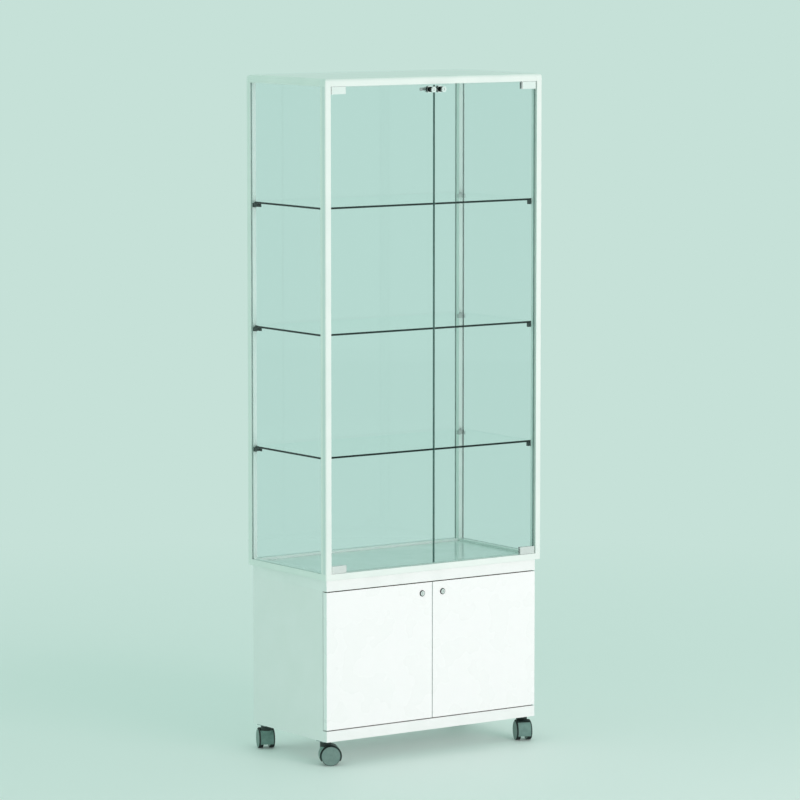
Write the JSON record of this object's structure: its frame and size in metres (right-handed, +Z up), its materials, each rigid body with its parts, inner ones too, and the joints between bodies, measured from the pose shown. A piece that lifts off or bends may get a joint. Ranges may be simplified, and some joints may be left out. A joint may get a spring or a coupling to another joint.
{
  "type": "glazed display case",
  "caption": "Mobile glazed display case: framed glass cabinet with glass shelves and lockable glass doors, on a two-door base cabinet with twin-wheel castors.",
  "frame": {"origin": "on the floor, under the middle of the bounding box", "axes": "+X to the right seen from the front, +Y from the doors to the back, +Z up"},
  "size_m": [0.8, 0.4452, 2.0615],
  "materials": {
    "frame_white": "satin powder coat",
    "strip_grey": "satin",
    "board_white": "satin white laminate",
    "door_white": "semi-gloss white laminate",
    "floor_laminate": "glossy pale laminate",
    "clear_glass": "polished",
    "shelf_glass": "polished, dark green edges",
    "bracket_black": "matt",
    "bracket_screw": "satin",
    "clamp_chrome": "satin chrome",
    "lock_chrome": "bright chrome",
    "lock_steel": "satin",
    "zinc_steel": "zinc plated",
    "dowel_wood": "planed beech",
    "castor_hood": "satin moulded",
    "castor_wheel": "satin moulded"
  },
  "bodies": {
    "case": {"post_front_left": "frame_white", "post_front_right": "frame_white", "post_rear_left": "frame_white", "post_rear_right": "frame_white", "top_rail_front": "frame_white", "top_rail_rear": "frame_white", "top_rail_left": "frame_white", "top_rail_right": "frame_white", "bottom_rail_front": "frame_white", "bottom_rail_rear": "frame_white", "bottom_rail_left": "frame_white", "bottom_rail_right": "frame_white", "corner_fittings": "frame_white", "post_cover_strips": "strip_grey", "top_panel": "board_white", "floor_panel": "floor_laminate", "side_glass_left": "clear_glass", "side_glass_right": "clear_glass", "back_glass": "clear_glass", "shelf_upper": "shelf_glass", "shelf_middle": "shelf_glass", "shelf_lower": "shelf_glass", "shelf_brackets": "bracket_black", "bracket_screws": "bracket_screw", "pivot_pins": "zinc_steel", "base_top": "board_white", "base_bottom": "board_white", "base_side_left": "board_white", "base_side_right": "board_white", "base_back": "board_white", "strike_plates": "zinc_steel", "dowels": "dowel_wood", "wood_screws": "zinc_steel", "castor_plates": "zinc_steel", "castor_stems": "zinc_steel"},
    "left_glass_door": {"glass_door_left": "clear_glass", "hinge_clamps_left": "clamp_chrome", "glass_lock_barrel_left": "lock_chrome"},
    "left_glass_lock_plug": {"glass_lock_plug_left": "lock_steel"},
    "left_base_door": {"base_door_left": "door_white", "base_lock_barrel_left": "lock_chrome"},
    "left_base_lock_plug": {"base_lock_plug_left": "lock_steel"},
    "right_glass_door": {"glass_door_right": "clear_glass", "hinge_clamps_right": "clamp_chrome", "glass_lock_barrel_right": "lock_chrome"},
    "right_glass_lock_plug": {"glass_lock_plug_right": "lock_steel"},
    "right_base_door": {"base_door_right": "door_white", "base_lock_barrel_right": "lock_chrome"},
    "right_base_lock_plug": {"base_lock_plug_right": "lock_steel"},
    "front_left_castor": {"castor_hood_front_left": "castor_hood", "castor_axle_front_left": "zinc_steel"},
    "front_left_wheels": {"castor_wheels_front_left": "castor_wheel"},
    "front_right_castor": {"castor_hood_front_right": "castor_hood", "castor_axle_front_right": "zinc_steel"},
    "front_right_wheels": {"castor_wheels_front_right": "castor_wheel"},
    "rear_left_castor": {"castor_hood_rear_left": "castor_hood", "castor_axle_rear_left": "zinc_steel"},
    "rear_left_wheels": {"castor_wheels_rear_left": "castor_wheel"},
    "rear_right_castor": {"castor_hood_rear_right": "castor_hood", "castor_axle_rear_right": "zinc_steel"},
    "rear_right_wheels": {"castor_wheels_rear_right": "castor_wheel"}
  },
  "joints": [
    {"name": "left_glass_door_hinge", "type": "hinge", "parent": "case", "child": "left_glass_door", "pos_m": [-0.364, -0.19564, 1.31225], "axis": [0, 0, -1], "range_deg": [0, 100]},
    {"name": "right_glass_door_hinge", "type": "hinge", "parent": "case", "child": "right_glass_door", "pos_m": [0.364, -0.19564, 1.31225], "axis": [0, 0, 1], "range_deg": [0, 100]},
    {"name": "left_glass_lock_turn", "type": "hinge", "parent": "left_glass_door", "child": "left_glass_lock_plug", "pos_m": [-0.0187, -0.19814, 2.0225], "axis": [0, 1, 0], "range_deg": [0, 90]},
    {"name": "right_glass_lock_turn", "type": "hinge", "parent": "right_glass_door", "child": "right_glass_lock_plug", "pos_m": [0.0187, -0.19814, 2.0225], "axis": [0, -1, 0], "range_deg": [0, 90]},
    {"name": "left_base_door_hinge", "type": "hinge", "parent": "case", "child": "left_base_door", "pos_m": [-0.382, -0.18364, 0.32025], "axis": [0, 0, -1], "range_deg": [0, 110]},
    {"name": "right_base_door_hinge", "type": "hinge", "parent": "case", "child": "right_base_door", "pos_m": [0.382, -0.18364, 0.32025], "axis": [0, 0, 1], "range_deg": [0, 110]},
    {"name": "left_base_lock_turn", "type": "hinge", "parent": "left_base_door", "child": "left_base_lock_plug", "pos_m": [-0.038, -0.18964, 0.497], "axis": [0, 1, 0], "range_deg": [0, 90]},
    {"name": "right_base_lock_turn", "type": "hinge", "parent": "right_base_door", "child": "right_base_lock_plug", "pos_m": [0.038, -0.18964, 0.497], "axis": [0, -1, 0], "range_deg": [0, 90]},
    {"name": "front_left_castor_swivel", "type": "hinge", "parent": "case", "child": "front_left_castor", "pos_m": [-0.3675, -0.15164, 0.06], "axis": [0, 0, 1], "continuous": true},
    {"name": "front_right_castor_swivel", "type": "hinge", "parent": "case", "child": "front_right_castor", "pos_m": [0.3675, -0.15164, 0.06], "axis": [0, 0, 1], "continuous": true},
    {"name": "rear_left_castor_swivel", "type": "hinge", "parent": "case", "child": "rear_left_castor", "pos_m": [-0.3675, 0.17086, 0.06], "axis": [0, 0, 1], "continuous": true},
    {"name": "rear_right_castor_swivel", "type": "hinge", "parent": "case", "child": "rear_right_castor", "pos_m": [0.3675, 0.17086, 0.06], "axis": [0, 0, 1], "continuous": true},
    {"name": "front_left_wheel_spin", "type": "hinge", "parent": "front_left_castor", "child": "front_left_wheels", "pos_m": [-0.35516, -0.15826, 0.03], "axis": [0.4726, 0.8813, 0], "continuous": true},
    {"name": "front_right_wheel_spin", "type": "hinge", "parent": "front_right_castor", "child": "front_right_wheels", "pos_m": [0.36199, -0.16451, 0.03], "axis": [0.9191, -0.3939, 0], "continuous": true},
    {"name": "rear_left_wheel_spin", "type": "hinge", "parent": "rear_left_castor", "child": "rear_left_wheels", "pos_m": [-0.36199, 0.18373, 0.03], "axis": [-0.9191, 0.3939, 0], "continuous": true},
    {"name": "rear_right_wheel_spin", "type": "hinge", "parent": "rear_right_castor", "child": "rear_right_wheels", "pos_m": [0.35434, 0.17565, 0.03], "axis": [-0.342, -0.9397, 0], "continuous": true}
  ]
}
